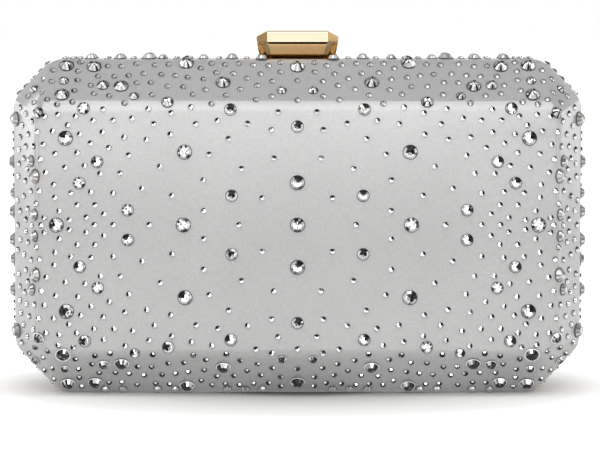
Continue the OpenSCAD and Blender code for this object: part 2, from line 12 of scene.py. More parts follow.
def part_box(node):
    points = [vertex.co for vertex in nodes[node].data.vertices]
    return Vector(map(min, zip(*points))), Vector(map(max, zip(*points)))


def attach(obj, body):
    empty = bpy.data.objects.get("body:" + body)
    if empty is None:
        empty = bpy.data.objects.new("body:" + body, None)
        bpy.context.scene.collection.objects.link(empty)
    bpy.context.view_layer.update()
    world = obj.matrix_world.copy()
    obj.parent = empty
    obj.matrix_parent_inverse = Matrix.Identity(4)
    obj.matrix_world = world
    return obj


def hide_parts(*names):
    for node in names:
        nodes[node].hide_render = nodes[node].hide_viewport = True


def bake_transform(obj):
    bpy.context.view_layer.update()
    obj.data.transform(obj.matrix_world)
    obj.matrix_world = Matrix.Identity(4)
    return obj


MM = 0.001

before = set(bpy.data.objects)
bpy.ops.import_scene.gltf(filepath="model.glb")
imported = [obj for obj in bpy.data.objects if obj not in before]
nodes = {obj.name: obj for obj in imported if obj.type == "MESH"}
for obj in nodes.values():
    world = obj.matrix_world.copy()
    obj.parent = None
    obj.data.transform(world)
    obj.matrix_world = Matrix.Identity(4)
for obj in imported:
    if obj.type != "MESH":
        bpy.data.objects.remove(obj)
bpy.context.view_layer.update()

CASE_HALF_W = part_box("front_shell")[1].x
CASE_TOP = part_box("front_shell")[1].z
CASE_MIDDLE = Vector((0, 0, CASE_TOP / 2))

# The two halves, and which way along Y each one looks
FACING = {"front": -1, "back": 1}

# Points of a CAD mesh that are closer than this are one point
MERGE_WITHIN = 2e-6


# Camera: a long lens in front of the case, a little above its middle
EYE = Vector((0, -1.052, 0.1397))
LOOK_AT = Vector((0.0008, 0, 0.0523))
bpy.ops.object.camera_add(location=EYE)
camera = bpy.context.object
camera.name = "camera"
camera.data.sensor_width = 36
camera.data.lens = 200
camera.data.clip_start = 0.05
camera.data.clip_end = 20
camera.rotation_mode = "QUATERNION"
camera.rotation_quaternion = (LOOK_AT - EYE).to_track_quat("-Z", "Y")
bpy.context.scene.camera = camera


# Shader helpers
def new_finish(name):
    """An empty material with a Principled shader, its node tree and the shader."""
    finish = bpy.data.materials.new(name)
    finish.use_nodes = True
    tree = finish.node_tree
    return finish, tree, tree.nodes["Principled BSDF"]


def wire(tree, out, into):
    tree.links.new(out, into)


def mapped(tree, source, scale=(1, 1, 1), turn=(0, 0, 0)):
    """Coordinates of the piece, scaled and turned."""
    coordinate = tree.nodes.new("ShaderNodeTexCoord")
    mapping = tree.nodes.new("ShaderNodeMapping")
    mapping.inputs["Scale"].default_value = scale
    mapping.inputs["Rotation"].default_value = turn
    wire(tree, coordinate.outputs[source], mapping.inputs["Vector"])
    return mapping.outputs["Vector"]


def noise(tree, vector, scale, detail, roughness):
    made = tree.nodes.new("ShaderNodeTexNoise")
    made.inputs["Scale"].default_value = scale
    made.inputs["Detail"].default_value = detail
    made.inputs["Roughness"].default_value = roughness
    wire(tree, vector, made.inputs["Vector"])
    return made.outputs["Fac"]


def waves(tree, vector, scale, direction, distortion, detail_scale=1.0):
    made = tree.nodes.new("ShaderNodeTexWave")
    made.wave_type = "BANDS"
    made.bands_direction = direction
    made.inputs["Scale"].default_value = scale
    made.inputs["Distortion"].default_value = distortion
    made.inputs["Detail Scale"].default_value = detail_scale
    wire(tree, vector, made.inputs["Vector"])
    return made.outputs["Fac"]


def ramp(tree, factor, stops):
    """A colour ramp; stops are (place, grey or colour)."""
    made = tree.nodes.new("ShaderNodeValToRGB")
    band = made.color_ramp
    while len(band.elements) < len(stops):
        band.elements.new(0.5)
    for element, (place, shade) in zip(band.elements, stops):
        element.position = place
        shade = (shade, shade, shade) if isinstance(shade, (int, float)) else shade
        element.color = (*shade, 1)
    wire(tree, factor, made.inputs["Fac"])
    return made.outputs["Color"]


def mixed(tree, a, b, factor, kind="MIX"):
    """Colour a and b mixed by factor, each an output or a constant."""
    made = tree.nodes.new("ShaderNodeMix")
    made.data_type = "RGBA"
    made.blend_type = kind
    for value, into in ((factor, made.inputs["Factor"]), (a, made.inputs["A"]), (b, made.inputs["B"])):
        if isinstance(value, bpy.types.NodeSocket):
            wire(tree, value, into)
        elif isinstance(value, tuple):
            into.default_value = (*value, 1)
        else:
            into.default_value = value
    return made.outputs["Result"]


def math_of(tree, a, b, operation="ADD"):
    """The sum of a and b, or another operation on them, each an output or a number."""
    made = tree.nodes.new("ShaderNodeMath")
    made.operation = operation
    for value, into in ((a, made.inputs[0]), (b, made.inputs[1])):
        if isinstance(value, bpy.types.NodeSocket):
            wire(tree, value, into)
        else:
            into.default_value = value
    return made.outputs["Value"]


def raised(tree, shader, height, strength, distance, before=None):
    """Bump on a shader, after an earlier bump if one is given."""
    made = tree.nodes.new("ShaderNodeBump")
    made.inputs["Strength"].default_value = strength
    made.inputs["Distance"].default_value = distance
    wire(tree, height, made.inputs["Height"])
    if before is not None:
        wire(tree, before, made.inputs["Normal"])
    wire(tree, made.outputs["Normal"], shader.inputs["Normal"])
    return made.outputs["Normal"]


# Finishes
WEAVE_SCALE = 900.0
SATIN_LUSTRE = 0.2


def woven_satin(name, light, dark, sheen):
    """Satin: long warp threads with a soft lustre, fine slubs along the weft and a faint crossing weave."""
    finish, tree, shader = new_finish(name)
    cloth = mapped(tree, "UV")
    slubs = noise(tree, mapped(tree, "UV", (420, 2100, 1)), 1.0, 5.0, 0.65)
    warp = noise(tree, mapped(tree, "UV", (2300, 520, 1)), 1.0, 4.0, 0.6)
    drift = noise(tree, mapped(tree, "Object", (28, 28, 28)), 1.0, 2.0, 0.5)
    grain = noise(tree, cloth, 1500.0, 3.0, 0.7)
    threads = math_of(tree, slubs, warp)
    shade = ramp(tree, math_of(tree, threads, 0.5, "MULTIPLY"), [(0.36, dark), (0.64, light)])
    shade = mixed(tree, shade, ramp(tree, drift, [(0.3, 0.93), (0.7, 1.0)]), 1.0, "MULTIPLY")
    shade = mixed(tree, shade, ramp(tree, grain, [(0.3, 0.86), (0.7, 1.0)]), 0.7, "MULTIPLY")
    wire(tree, shade, shader.inputs["Base Color"])
    wire(tree, ramp(tree, threads, [(0.7, 0.17), (1.3, 0.22)]), shader.inputs["Roughness"])
    across = waves(tree, cloth, WEAVE_SCALE, "X", 1.2, 2.0)
    along = waves(tree, cloth, WEAVE_SCALE * 1.3, "Y", 1.2, 2.0)
    weave = raised(tree, shader, mixed(tree, across, along, 0.5), 0.12, 0.04 * MM)
    raised(tree, shader, slubs, 0.22, 0.06 * MM, weave)
    shader.inputs["Sheen Weight"].default_value = sheen
    shader.inputs["Sheen Roughness"].default_value = 0.45
    shader.inputs["Metallic"].default_value = SATIN_LUSTRE
    shader.inputs["Specular IOR Level"].default_value = 0.8
    return finish


def gilt(name, light, dark, rough, brushed):
    """Pale gilt over brass: a polish with fine lines, a little tarnish in patches."""
    finish, tree, shader = new_finish(name)
    lines = noise(tree, mapped(tree, "Object", (60, 900, 900)), 3.0, 4.0, 0.6)
    patches = noise(tree, mapped(tree, "Object"), 90.0, 4.0, 0.55)
    specks = noise(tree, mapped(tree, "Object"), 900.0, 2.0, 0.5)
    shade = ramp(tree, patches, [(0.3, dark), (0.62, light)])
    wire(tree, shade, shader.inputs["Base Color"])
    scratched = math_of(tree, lines, brushed, "MULTIPLY")
    polish = math_of(tree, scratched, math_of(tree, specks, rough, "MULTIPLY"))
    wire(tree, polish, shader.inputs["Roughness"])
    raised(tree, shader, lines, brushed, 0.02 * MM)
    shader.inputs["Metallic"].default_value = 1.0
    return finish


def spring_steel(name):
    """Bright steel: fine drawn lines and a little change of tone."""
    finish, tree, shader = new_finish(name)
    lines = noise(tree, mapped(tree, "Object", (900, 900, 80)), 2.0, 4.0, 0.65)
    heat = noise(tree, mapped(tree, "Object"), 220.0, 2.0, 0.5)
    shade = ramp(tree, heat, [(0.35, (0.50, 0.50, 0.52)), (0.7, (0.66, 0.65, 0.63))])
    wire(tree, shade, shader.inputs["Base Color"])
    wire(tree, ramp(tree, lines, [(0.3, 0.18), (0.75, 0.38)]), shader.inputs["Roughness"])
    raised(tree, shader, lines, 0.15, 0.02 * MM)
    shader.inputs["Metallic"].default_value = 1.0
    return finish


def cut_glass(name):
    """Foiled glass under a clear hard gloss: each facet carries a painted reflection, a tone fixed on it,
    and its own share of foil.
    """
    finish, tree, shader = new_finish(name)
    # The facet tone is painted reflection and shade: dark and white facets stand for what the glass mirrors
    facet = tree.nodes.new("ShaderNodeAttribute")
    facet.attribute_name = "facet_painted_reflection"
    cloud = noise(tree, mapped(tree, "Object"), 700.0, 2.0, 0.5)
    clear = ramp(tree, cloud, [(0.3, (0.93, 0.94, 0.97)), (0.7, 1.0)])
    shade = mixed(tree, facet.outputs["Color"], clear, 1.0, "MULTIPLY")
    wire(tree, shade, shader.inputs["Base Color"])
    wire(tree, ramp(tree, cloud, [(0.3, 0.03), (0.8, 0.09)]), shader.inputs["Roughness"])
    wire(tree, facet.outputs["Alpha"], shader.inputs["Metallic"])
    shader.inputs["IOR"].default_value = 1.5
    shader.inputs["Coat Weight"].default_value = 0.08
    shader.inputs["Coat Roughness"].default_value = 0.02
    return finish


def pressed_board(name):
    """Dark board with short fibres, for the trays."""
    finish, tree, shader = new_finish(name)
    fibres = noise(tree, mapped(tree, "Object", (1, 1, 3)), 420.0, 5.0, 0.65)
    shade = ramp(tree, fibres, [(0.3, (0.13, 0.125, 0.12)), (0.7, (0.24, 0.235, 0.23))])
    wire(tree, shade, shader.inputs["Base Color"])
    wire(tree, ramp(tree, fibres, [(0.3, 0.62), (0.7, 0.82)]), shader.inputs["Roughness"])
    raised(tree, shader, fibres, 0.3, 0.1 * MM)
    return finish


def soft_wadding(name):
    """Matt white wadding in small tufts."""
    finish, tree, shader = new_finish(name)
    tufts = noise(tree, mapped(tree, "Object"), 300.0, 6.0, 0.7)
    shade = ramp(tree, tufts, [(0.3, (0.72, 0.72, 0.70)), (0.7, (0.86, 0.86, 0.84))])
    wire(tree, shade, shader.inputs["Base Color"])
    wire(tree, ramp(tree, tufts, [(0.3, 0.85), (0.7, 0.98)]), shader.inputs["Roughness"])
    raised(tree, shader, tufts, 0.6, 0.3 * MM)
    shader.inputs["Sheen Weight"].default_value = 0.3
    return finish


def sewing_thread(name):
    """Grey thread with its twist showing."""
    finish, tree, shader = new_finish(name)
    twist = waves(tree, mapped(tree, "Object", (1, 1, 1), (0, 0.7, 0.7)), 900.0, "X", 0.5)
    shade = ramp(tree, twist, [(0.2, (0.34, 0.33, 0.35)), (0.8, (0.50, 0.49, 0.51))])
    wire(tree, shade, shader.inputs["Base Color"])
    wire(tree, ramp(tree, twist, [(0.2, 0.6), (0.8, 0.45)]), shader.inputs["Roughness"])
    raised(tree, shader, twist, 0.4, 0.05 * MM)
    shader.inputs["Sheen Weight"].default_value = 0.3
    return finish


SATIN = woven_satin("silver_satin", (0.398, 0.398, 0.396), (0.345, 0.345, 0.342), 0.1)
LINING = woven_satin("lining_satin", (0.46, 0.455, 0.47), (0.37, 0.365, 0.38), 0.15)
FRAME_GILT = gilt("frame_gilt", (0.90, 0.72, 0.45), (0.80, 0.60, 0.34), 0.22, 0.20)
# Near-black gilt for the knob's groove: painted shade in it
GROOVE_SHADE = gilt("knob_groove_shade", (0.05, 0.035, 0.015), (0.02, 0.013, 0.006), 0.6, 0.1)
HINGE_GILT = gilt("hinge_gilt", (0.84, 0.66, 0.40), (0.70, 0.52, 0.29), 0.30, 0.26)
KNOB_GILT = gilt("knob_gilt", (0.80, 0.545, 0.265), (0.76, 0.50, 0.235), 0.05, 0.01)
# A paler copy of the knob's gilt for its upright facets: painted highlight
KNOB_HIGHLIGHT = gilt("knob_highlight_gilt", (0.98, 0.88, 0.66), (0.96, 0.85, 0.62), 0.05, 0.01)
# A darker copy of the knob's gilt for its sloping front and back facets: painted shade
KNOB_RIM_SHADE = gilt("knob_rim_shade_gilt", (0.34, 0.23, 0.11), (0.28, 0.18, 0.08), 0.2, 0.05)
STEEL = spring_steel("spring_steel")
GLASS = cut_glass("cut_glass")
BOARD = pressed_board("tray_board")
WADDING = soft_wadding("wadding")
THREAD = sewing_thread("sewing_thread")


# Modelling helpers
def only(piece):
    """Selects one object alone and makes it active."""
    if bpy.context.mode != "OBJECT":
        bpy.ops.object.mode_set(mode="OBJECT")
    bpy.ops.object.select_all(action="DESELECT")
    piece.select_set(True)
    bpy.context.view_layer.objects.active = piece


def edit(piece):
    """Opens a piece for editing with all of it selected."""
    only(piece)
    bpy.ops.object.mode_set(mode="EDIT")
    bpy.ops.mesh.select_all(action="SELECT")


def done():
    bpy.ops.object.mode_set(mode="OBJECT")


def pick(piece, kind, test):
    """Selects the faces, edges or vertices of an edited piece for which test is true."""
    done()
    parts = {"FACE": piece.data.polygons, "EDGE": piece.data.edges, "VERT": piece.data.vertices}[kind]
    for group in (piece.data.polygons, piece.data.edges, piece.data.vertices):
        group.foreach_set("select", [False] * len(group))
    bpy.ops.object.mode_set(mode="EDIT")
    bpy.ops.mesh.select_mode(type=kind)
    done()
    for part in parts:
        part.select = bool(test(part))
    bpy.ops.object.mode_set(mode="EDIT")


def seat(piece):
    """Places the object at the origin, its place in its mesh."""
    only(piece)
    bpy.ops.object.transform_apply(location=True, rotation=True, scale=True)


def apply_all(piece):
    only(piece)
    for modifier in list(piece.modifiers):
        bpy.ops.object.modifier_apply(modifier=modifier.name)


def joined(pieces, name):
    """One piece made of several, under a new name."""
    bpy.ops.object.select_all(action="DESELECT")
    for piece in pieces:
        piece.select_set(True)
    bpy.context.view_layer.objects.active = pieces[0]
    bpy.ops.object.join()
    whole = bpy.context.object
    whole.name = name
    return whole


def paint(piece, finish):
    piece.data.materials.clear()
    piece.data.materials.append(finish)


def softened(piece, width, angle=50, segments=2):
    """Rounds the edges that turn by more than the angle."""
    bevel = piece.modifiers.new("edge", "BEVEL")
    bevel.width = width
    bevel.segments = segments
    bevel.limit_method = "ANGLE"
    bevel.angle_limit = math.radians(angle)
    bevel.use_clamp_overlap = True
    apply_all(piece)


def even_shading(piece, angle=35):
    """Smooth shading over the edges that turn by less than the angle, with the flats kept flat."""
    only(piece)
    bpy.ops.object.shade_smooth_by_angle(angle=math.radians(angle))
    weighted = piece.modifiers.new("flats", "WEIGHTED_NORMAL")
    weighted.keep_sharp = True
    weighted.weight = 80
    apply_all(piece)


def copy_of(node, name):
    """A merged copy of a CAD node's mesh with its flat faces made whole."""
    piece = nodes[node].copy()
    piece.data = nodes[node].data.copy()
    for key in list(piece.keys()):
        del piece[key]
    piece.parent = None
    piece.name = name
    piece.hide_render = False
    piece.hide_viewport = False
    bpy.context.scene.collection.objects.link(piece)
    edit(piece)
    bpy.ops.mesh.remove_doubles(threshold=MERGE_WITHIN)
    bpy.ops.mesh.dissolve_limited(angle_limit=math.radians(0.15))
    bpy.ops.mesh.normals_make_consistent(inside=False)
    done()
    return piece


def points_and_corners(mesh):
    """The mesh's points, and which point lies at each face corner."""
    points = np.empty(len(mesh.vertices) * 3)
    mesh.vertices.foreach_get("co", points)
    corners = np.empty(len(mesh.loops), int)
    mesh.loops.foreach_get("vertex_index", corners)
    return points.reshape(-1, 3), corners


def lay_weave(piece):
    """A UV map in metres, each face laid flat with the weft along X, or along Y where it looks along X."""
    mesh = piece.data
    layer = mesh.uv_layers.new(name="weave") if not mesh.uv_layers else mesh.uv_layers[0]
    layer.name = "weave"
    points, corners = points_and_corners(mesh)
    laid = np.empty((len(mesh.loops), 2))
    for face in mesh.polygons:
        out = np.array(face.normal)
        weft = np.array((1.0, 0, 0)) - out * out[0]
        if np.linalg.norm(weft) < 0.3:
            weft = np.array((0, 1.0, 0)) - out * out[1]
        weft /= np.linalg.norm(weft)
        warp = np.cross(out, weft)
        span = slice(face.loop_start, face.loop_start + face.loop_total)
        at = points[corners[span]]
        laid[span, 0] = at @ weft
        laid[span, 1] = at @ warp
    layer.data.foreach_set("uv", laid.ravel())


def carry(piece, body, finish, slot, *stood_for):
    """Puts a finished piece on its body, in its finish, in place of the CAD nodes it stands for; the slot is
    not used.
    """
    paint(piece, finish)
    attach(piece, body)
    if stood_for:
        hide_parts(*stood_for)


def dressed(node, body, finish, slot, width, angle=50):
    """A CAD node in its finish, with the edges that turn by more than the angle eased."""
    piece = copy_of(node, node + "_eased")
    softened(piece, width, angle)
    even_shading(piece)
    carry(piece, body, finish, slot, node)


# Satin covers
def satin_cover(side):
    """The stretched cover of one half, with its edges eased and its weave laid."""
    piece = copy_of(side + "_satin", side + "_satin_cover")
    softened(piece, 0.16 * MM)
    even_shading(piece, 50)
    lay_weave(piece)
    carry(piece, side, SATIN, "satin", side + "_satin")


for side in FACING:
    satin_cover(side)


# Stones
LARGE_R, SMALL_R = 2.35 * MM, 1.0 * MM
LARGE_SIDES, SMALL_SIDES = 16, 12
LARGE_FROM = 1.3 * MM

# The cut of a stone in shares of its radius: the girdle's height, each ring inwards and up, the table's rise
GIRDLE_SHARE, TABLE_SHARE = 0.13, 0.08
EDGE_SHARES, CROWN_SHARES, RIM_SHARES = (0.09, 0.04), (0.33, 0.48), (0.09, 0.05)

# The row along the foot's edge: half its length, its pitch, and how far from the seam it's looked for
EDGE_REACH, EDGE_PITCH, EDGE_PROBE = 66 * MM, 5.5 * MM, 10.8 * MM

# The radius of its stones, and the least gap from one to the next stone
EDGE_R, EDGE_GAP = 1.4 * MM, 0.2 * MM

# Points of a CAD stone within this height of its lowest belong to its flat back
BASE_BAND = 2e-5

# How far a stone's axis leans up or down, or sideways, when it is seen edge on, on a slope or on a side
EDGE_ON, SLOPED, SIDEWAYS = 0.95, 0.35, 0.62

# The kinds of facet from the back to the table, and the tones that recur, most of them for the facets'
# painted reflection
BACK, GIRDLE, EDGE, CROWN, RIM, TABLE = range(6)
BLACK, WHITE, BACK_TONE = 0.01, 1.0, 0.12

# What is left to chance: a stone's turn, stray facets, and the face stones that are white all over
LEAN_SPREAD, STRAY_SHARE, SPECK_FROM = 0.45, 0.06, 0.85


def facet_kinds(stone, radius, sides):
    """Which kind each facet is, the angle from +Y to it in degrees, and its number round the stone."""
    kinds = []
    for face in stone.data.polygons:
        at, out = face.center, face.normal
        turn = math.degrees(math.atan2(at.y, at.x))
        if out.z < -0.5:
            kind = BACK
        elif out.z < 0.15:
            kind = GIRDLE
        elif math.hypot(at.x, at.y) > 0.84 * radius:
            kind = EDGE
        elif out.z > 0.95:
            kind = TABLE
        elif out.z > 0.75:
            kind = RIM
        else:
            kind = CROWN
        turn = (turn - 90 + 180) % 360 - 180
        kinds.append((kind, turn, int(turn * sides // 360) % sides))
    return kinds


def wedge_tone(kind, turn, step):
    """A large stone seen square on, in painted reflection: white, with one dark wedge from the middle
    outwards.
    """
    away = abs(turn)
    if kind == EDGE:
        return 0.04
    if kind == CROWN and away > 165:
        return 0.5
    if kind == CROWN:
        return BLACK if away < 52 else (WHITE, 0.8)[step % 2]
    if kind == RIM:
        return 0.02 if away < 62 else WHITE
    return BLACK if away < 48 else WHITE


def heart_tone(kind, turn, step):
    """A large stone in painted reflection: a dark heart, an upper dark crescent and a white lower ring."""
    away = abs(turn)
    if kind == EDGE:
        return 0.06
    if kind == CROWN:
        return (BLACK, 0.05)[step % 2] if away < 50 else WHITE
    if kind == RIM:
        return 0.02 if away < 110 else WHITE
    return BLACK if away < 115 else (BLACK, 0.6)[step % 2]


def speck_tone(kind, turn, step):
    """A large stone in painted reflection: white all over, with dark specks along its upper rim."""
    away = abs(turn)
    if kind == EDGE:
        return 0.05
    if kind == CROWN:
        return 0.05 if away > 150 or (away < 80 and step % 2) else WHITE
    return 0.3 if away > 150 else WHITE


def dot_tone(kind, turn, step):
    """A small stone seen square on, in painted reflection: a dark dot and a white crescent."""
    away = abs(turn)
    if kind == EDGE:
        return 0.3 if away > 90 else 0.15
    if kind == CROWN:
        return BLACK if away < 62 else WHITE
    return BLACK if away < 70 else WHITE


def side_tone(kind, turn, step):
    """A small stone on a side slope, in painted reflection: dark towards the rim of the case, with a white
    far edge.
    """
    away = abs(turn)
    if kind == EDGE:
        return 0.05
    if kind == CROWN:
        return BLACK if away < 85 else (0.8, 0.5)[step % 2]
    return BLACK if away < 70 else 0.7


def streak_tone(kind, turn, step):
    """A large stone on the upper slope, in painted reflection: pale facets crossed by dark streaks."""
    away = abs(turn)
    if kind == EDGE:
        return 0.4 if away < 60 else 0.06
    if step in (0, 1, 7, 10):
        return BLACK
    if kind == RIM:
        return 0.5
    return (0.6, 0.4)[step % 2] if away > 100 else (0.9, 0.6)[step % 2]


def faint_tone(kind, turn, step):
    """A small stone on the upper slope, in painted reflection: pale grey, with a dark corner and one white
    glint.
    """
    if kind == EDGE:
        return 0.08
    if kind == CROWN and -150 < turn < -100:
        return 0.9
    if kind == CROWN:
        return 0.02 if 0 < turn < 80 else (0.34, 0.2)[step % 2]
    return 0.02 if -30 < turn < 60 else 0.3


def ring_tone(kind, turn, step):
    """A large stone on the lower slope, in painted reflection: a fan of dark facets inside a white ring."""
    away = abs(turn)
    if kind == EDGE:
        return 0.95
    if kind == CROWN and 60 <= away < 85:
        return 0.9
    if kind == CROWN:
        return (0.05, BLACK)[step % 2] if away < 60 else (0.5, 0.2)[step % 2]
    if kind == RIM:
        return (0.06, BLACK)[step % 2]
    return (0.06, 0.005)[step % 2]


def spark_tone(kind, turn, step):
    """A small stone on the lower slope, in painted reflection: a black middle inside a bright ring."""
    if kind == EDGE:
        return 0.3
    if kind == CROWN:
        return WHITE if 55 < abs(turn) < 115 else 0.02
    return BLACK


def smoky_reflection_tone(kind, turn, step):
    """A large stone seen from the side, in painted reflection: pale smoky greys on clear glass."""
    if kind == EDGE:
        return 0.12
    if kind == CROWN:
        return (0.5, 0.2)[step % 2]
    if kind == RIM:
        return 0.35
    return 0.08 if abs(turn) < 60 else 0.55


def dome_tone(kind, turn, step):
    """A stone on the top wall or the foot's edge, seen edge on: clear glass in pale painted reflection."""
    if kind == EDGE:
        return 0.08
    if kind == CROWN:
        return (0.6, 0.3)[step % 2]
    return 0.2


def foot_tone(kind, turn, step):
    """A stone along the foot's edge: clear glass in pale painted reflection, with a thin dark outline."""
    if kind == EDGE:
        return 0.06
    if kind == CROWN:
        return (0.5, 0.25)[step % 2]
    return 0.35


def cut_stone(name, radius, sides, fine):
    """A flat-backed stone: girdle, bevelled edge, crown facets and a cut table; its back lies at z = 0."""
    girdle = GIRDLE_SHARE * radius
    bpy.ops.object.select_all(action="DESELECT")
    bpy.ops.mesh.primitive_cylinder_add(
        vertices=sides, radius=radius, depth=girdle, location=(0, 0, girdle / 2))
    stone = bpy.context.object
    stone.name = name
    seat(stone)
    edit(stone)
    pick(stone, "FACE", lambda f: f.normal.z > 0.9)
    rings = [EDGE_SHARES, CROWN_SHARES]
    if fine:
        rings.append(RIM_SHARES)
    for inward, up in rings:
        bpy.ops.mesh.inset(thickness=inward * radius, depth=up * radius)
    bpy.ops.mesh.poke(offset=TABLE_SHARE * radius)
    done()
    # Each facet's tone, set later, is its painted reflection
    stone.data.color_attributes.new("facet_painted_reflection", "FLOAT_COLOR", "CORNER")
    return stone


def stone_islands(node):
    """Base centre, outward axis and radius of each stone in a CAD node."""
    points, corners = points_and_corners(nodes[node].data)
    places = np.round(points / MERGE_WITHIN).astype(np.int64)
    unique, index = np.unique(places, axis=0, return_inverse=True)
    triangles = index.ravel()[corners].reshape(-1, 3)
    label = np.arange(len(unique))
    # Points that share a triangle take the lowest label among them, until no label changes
    while True:
        low = label[triangles].min(axis=1)
        before = label.copy()
        for k in range(3):
            np.minimum.at(label, triangles[:, k], low)
        label = label[label]
        if (label == before).all():
            break
    middle = np.array(CASE_MIDDLE)
    at = unique * MERGE_WITHIN
    found = []
    owner = label[triangles[:, 0]]
    order = np.argsort(owner, kind="stable")
    for chunk in np.split(order, np.flatnonzero(np.diff(owner[order])) + 1):
        corner = at[triangles[chunk]]
        area = np.cross(corner[:, 1] - corner[:, 0], corner[:, 2] - corner[:, 0])
        size = np.linalg.norm(area, axis=1)
        unit = area / np.maximum(size, 1e-18)[:, None]
        # The axis is the line that most of the stone's surface faces along
        axis = np.linalg.eigh((unit * size[:, None]).T @ unit)[1][:, -1]
        flat = corner.reshape(-1, 3)
        if axis @ (flat.mean(axis=0) - middle) < 0:
            axis = -axis
        height = flat @ axis
        base = flat[height < height.min() + BASE_BAND]
        centre = (base.min(axis=0) + base.max(axis=0)) / 2
        found.append((centre, axis, float(np.linalg.norm(base - centre, axis=1).max())))
    return found


def dark_reflection_side(at, out, facing):
    """The way a stone's dark facets of painted reflection point: outwards to the side, and up."""
    across = -facing * at.x / CASE_HALF_W
    lean = Vector((-facing * 1.15 * across, 0, 0.55 + 0.5 * (at.z - CASE_MIDDLE.z) / CASE_MIDDLE.z))
    if abs(out.z) > EDGE_ON:
        lean = Vector((0.3 * across, -facing, 0))
    lean = lean - out * lean.dot(out)
    if lean.length < 0.05:
        lean = Vector((0, 0, 1)) - out * out.z
    return lean.normalized()


def painted_reflection_for(at, out, radius, rng):
    """Which painted reflection a stone's facets get, by its size and by the side of the case it sits on."""
    large = radius > LARGE_FROM
    if abs(out.z) > EDGE_ON:
        return dome_tone
    if out.z > SLOPED:
        return streak_tone if large else faint_tone
    if out.z < -SLOPED:
        return ring_tone if large else spark_tone
    if abs(out.x) > SIDEWAYS:
        return smoky_reflection_tone if large else side_tone
    if not large:
        return dot_tone
    hearts = 0.5 if abs(at.x) < CASE_HALF_W / 2 else 0.1
    draw = rng.random()
    if draw < hearts:
        return heart_tone
    return speck_tone if draw > SPECK_FROM else wedge_tone


def foil_share(tone_of, kind):
    """How much a facet mirrors: less on pale glassy stones and on the rings of the lower ones."""
    if tone_of in (faint_tone, dome_tone, foot_tone):
        return 0.5
    if tone_of is smoky_reflection_tone:
        return 0.6
    return 0.3 if kind == EDGE and tone_of in (ring_tone, spark_tone) else 0.95


def set_stones(name, places, side, cut, tone=None):
    """Copies the pattern stone to every place, each with its own turn and its own facet tones of painted
    reflection, as one piece.
    """
    pattern, pattern_radius, sides = cut
    rng = random.Random(name)
    kinds = facet_kinds(pattern, pattern_radius, sides)
    sizes = [face.loop_total for face in pattern.data.polygons]
    copies = []
    for centre, axis, radius in places:
        out = Vector(axis)
        at = Vector(centre)
        aside = Matrix.Rotation(rng.uniform(-LEAN_SPREAD, LEAN_SPREAD), 3, out)
        lean = aside @ dark_reflection_side(at, out, FACING[side])
        turned = Matrix((lean.cross(out), lean, out)).transposed().to_4x4()
        stone = pattern.copy()
        stone.data = pattern.data.copy()
        stone.matrix_world = Matrix.Translation(at) @ turned @ Matrix.Scale(radius / pattern_radius, 4)
        tone_of = tone or painted_reflection_for(at, out, radius, rng)
        warm = rng.uniform(0.9, 1.0) if tone_of is smoky_reflection_tone else rng.uniform(0.98, 1.02)
        # The facet tones are painted reflection; the alpha carries the foil share
        shades = []
        for (kind, turn, step), corners in zip(kinds, sizes):
            shade = BACK_TONE if kind <= GIRDLE else tone_of(kind, turn, step)
            shade = min(WHITE, max(BLACK, shade * rng.uniform(0.8, 1.1)))
            if kind in (CROWN, TABLE) and rng.random() < STRAY_SHARE:
                shade = 0.4 if shade < 0.3 else 0.15
            foil = foil_share(tone_of, kind)
            colour = [shade, shade * min(1.0, 0.5 + warm / 2), min(1.0, shade * warm), foil]
            shades += colour * corners
        stone.data.color_attributes["facet_painted_reflection"].data.foreach_set("color", shades)
        bpy.context.scene.collection.objects.link(stone)
        copies.append(stone)
    stones = joined(copies, name)
    seat(stones)
    return stones


def edge_places(side, taken):
    """Places for small stones along the foot's edge, wherever there's room between the others."""
    mesh = nodes[side + "_satin"].data
    cover = BVHTree.FromPolygons([v.co for v in mesh.vertices], [p.vertices for p in mesh.polygons])
    places = []
    count = int(2 * EDGE_REACH / EDGE_PITCH)
    for k in range(count + 1):
        x = -EDGE_REACH + k * EDGE_PITCH
        at, out, _, _ = cover.find_nearest(Vector((x, FACING[side] * EDGE_PROBE, 0)))
        gaps = [(at - Vector(other)).length - EDGE_R - size for other, _, size in taken + places]
        if min(gaps) > EDGE_GAP:
            places.append((at, out, EDGE_R))
    return places


large_pattern = cut_stone("large_pattern", LARGE_R, LARGE_SIDES, True)
small_pattern = cut_stone("small_pattern", SMALL_R, SMALL_SIDES, False)
LARGE_CUT = (large_pattern, LARGE_R, LARGE_SIDES)
SMALL_CUT = (small_pattern, SMALL_R, SMALL_SIDES)
for side in FACING:
    taken = []
    for size, cut in (("20", LARGE_CUT), ("16", LARGE_CUT), ("12", LARGE_CUT), ("6", SMALL_CUT)):
        node = f"{side}_stones_{size}"
        places = stone_islands(node)
        taken += places
        stones = set_stones(node + "_cut", places, side, cut)
        carry(stones, side, GLASS, "stone", node)
    row = set_stones(side + "_edge_stones", edge_places(side, taken), side, SMALL_CUT, foot_tone)
    carry(row, side, GLASS, "stone")
for pattern in (large_pattern, small_pattern):
    bpy.data.objects.remove(pattern)


# Clasp, frames, hinges and lock
GIRDLE_DROP, GROOVE_W, GIRDLE_BAND = 3.8 * MM, 0.5 * MM, 0.1 * MM
KNOB_FINISHES = (KNOB_GILT, GROOVE_SHADE, KNOB_HIGHLIGHT, KNOB_RIM_SHADE)


